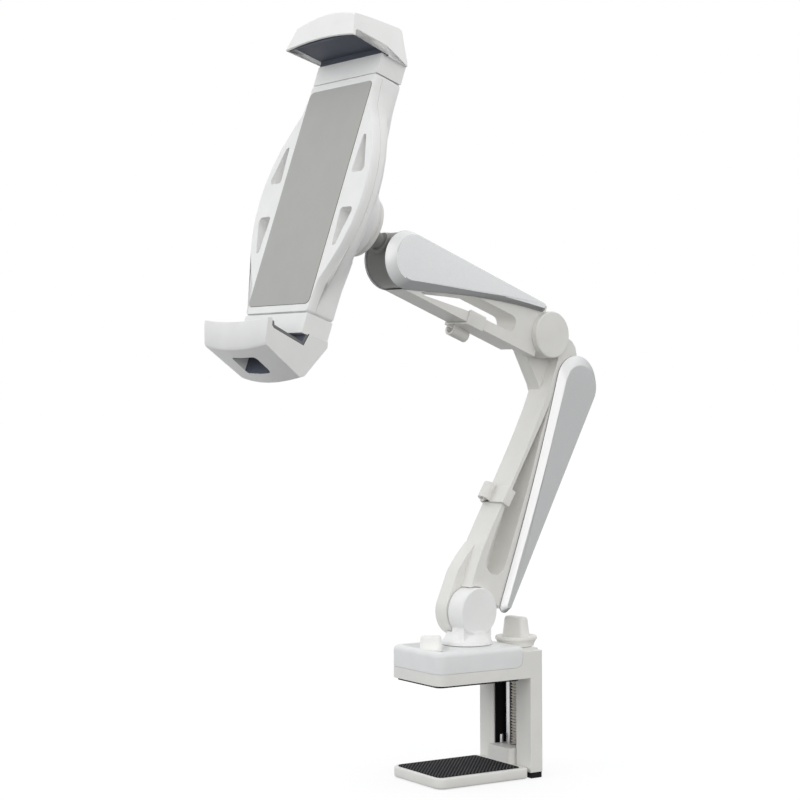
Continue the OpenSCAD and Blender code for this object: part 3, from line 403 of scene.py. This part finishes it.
bm = bmesh.new()
lathe(bm, rows, 40, Matrix.Translation((0, screw_y * MM, 0)), thread)
screw = new_mesh_object("lead_screw_thread", bm)
paint(screw, mats["screw_steel"])
smooth(screw, 50)
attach(screw, "screw")
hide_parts("lead_screw")


# Room: a pale floor, a white world and soft lamps

scene.view_settings.view_transform = "Standard"
FLOOR_RADIUS = 12.0
FLOOR_DROP = 0.2 * MM
FLOOR_BOUNCE = 0.24
FLOOR_GLOW = 0.77
SKY_COLOR = (0.985, 0.995, 1, 1)
SKY_STRENGTH = 0.97


def seen(nt):
    """1 for rays that show the background: straight, mirrored or through glass."""
    path = nt.nodes.new("ShaderNodeLightPath")
    a = nt.nodes.new("ShaderNodeMath")
    a.operation = "ADD"
    b = nt.nodes.new("ShaderNodeMath")
    b.operation = "ADD"
    b.use_clamp = True
    nt.links.new(path.outputs["Is Camera Ray"], a.inputs[0])
    nt.links.new(path.outputs["Is Glossy Ray"], a.inputs[1])
    nt.links.new(a.outputs["Value"], b.inputs[0])
    nt.links.new(path.outputs["Is Transmission Ray"], b.inputs[1])
    return b.outputs["Value"]


world = bpy.data.worlds.new("room")
scene.world = world
world.use_nodes = True
wt = world.node_tree
wt.nodes.clear()
w_out = wt.nodes.new("ShaderNodeOutputWorld")
w_mix = wt.nodes.new("ShaderNodeMixShader")
w_lit = wt.nodes.new("ShaderNodeBackground")
w_seen = wt.nodes.new("ShaderNodeBackground")
w_lit.inputs["Color"].default_value = SKY_COLOR
w_lit.inputs["Strength"].default_value = SKY_STRENGTH
w_seen.inputs["Color"].default_value = (1, 1, 1, 1)
w_seen.inputs["Strength"].default_value = 1.0
wt.links.new(seen(wt), w_mix.inputs["Fac"])
wt.links.new(w_lit.outputs["Background"], w_mix.inputs[1])
wt.links.new(w_seen.outputs["Background"], w_mix.inputs[2])
wt.links.new(w_mix.outputs["Shader"], w_out.inputs["Surface"])

floor_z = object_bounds()[0][2] - FLOOR_DROP
bm = bmesh.new()
bmesh.ops.create_circle(bm, cap_ends=True, segments=64, radius=FLOOR_RADIUS)
floor = new_mesh_object("floor", bm)
floor.location = (0, 0, floor_z)
floor_mat = bpy.data.materials.new("pale_floor")
floor_mat.use_nodes = True
ft = floor_mat.node_tree
ft.nodes.clear()
f_out = ft.nodes.new("ShaderNodeOutputMaterial")
f_add = ft.nodes.new("ShaderNodeAddShader")
f_dif = ft.nodes.new("ShaderNodeBsdfDiffuse")
f_emi = ft.nodes.new("ShaderNodeEmission")
f_dif.inputs["Color"].default_value = (FLOOR_BOUNCE, FLOOR_BOUNCE, FLOOR_BOUNCE, 1)
ft.links.new(seen(ft), f_emi.inputs["Strength"])
f_emi.inputs["Color"].default_value = (FLOOR_GLOW, FLOOR_GLOW, FLOOR_GLOW, 1)
ft.links.new(f_dif.outputs["BSDF"], f_add.inputs[0])
ft.links.new(f_emi.outputs["Emission"], f_add.inputs[1])
ft.links.new(f_add.outputs["Shader"], f_out.inputs["Surface"])
paint(floor, floor_mat)


def lamp(name, place, size, power, color):
    """A far soft lamp: it shines from place towards the origin, size is its width in degrees."""
    data = bpy.data.lights.new(name, "SUN")
    data.angle = math.radians(size)
    data.energy = power
    data.color = color
    o = bpy.data.objects.new(name, data)
    scene.collection.objects.link(o)
    o.location = place
    o.rotation_euler = (-Vector(place)).to_track_quat("-Z", "Y").to_euler()


lamp("key", (-0.1, -1.0, 0.45), 40, 0.40, (0.93, 0.965, 1))
lamp("side", (1.0, -0.45, 0.25), 60, 0.46, (1, 0.975, 0.925))


# Camera of the photograph, in metres and degrees

CAMERA_PLACE = (1.1150, -0.7571, 0.1987)
CAMERA_AZIMUTH = math.radians(57.71)
CAMERA_ELEVATION = math.radians(0.446)
CAMERA_ROLL = math.radians(-0.274)

flat = math.cos(CAMERA_ELEVATION)
back = Vector((math.sin(CAMERA_AZIMUTH) * flat, -math.cos(CAMERA_AZIMUTH) * flat, math.sin(CAMERA_ELEVATION)))
side = Vector((math.cos(CAMERA_AZIMUTH), math.sin(CAMERA_AZIMUTH), 0))
right = math.cos(CAMERA_ROLL) * side + math.sin(CAMERA_ROLL) * back.cross(side)
up = back.cross(right)
cam = bpy.data.objects.new("camera", bpy.data.cameras.new("camera"))
scene.collection.objects.link(cam)
cam.data.lens = 90
cam.data.sensor_width = 36
cam.data.clip_end = 50
cam.matrix_world = Matrix.Translation(CAMERA_PLACE) @ Matrix((right, up, back)).transposed().to_4x4()
scene.camera = cam
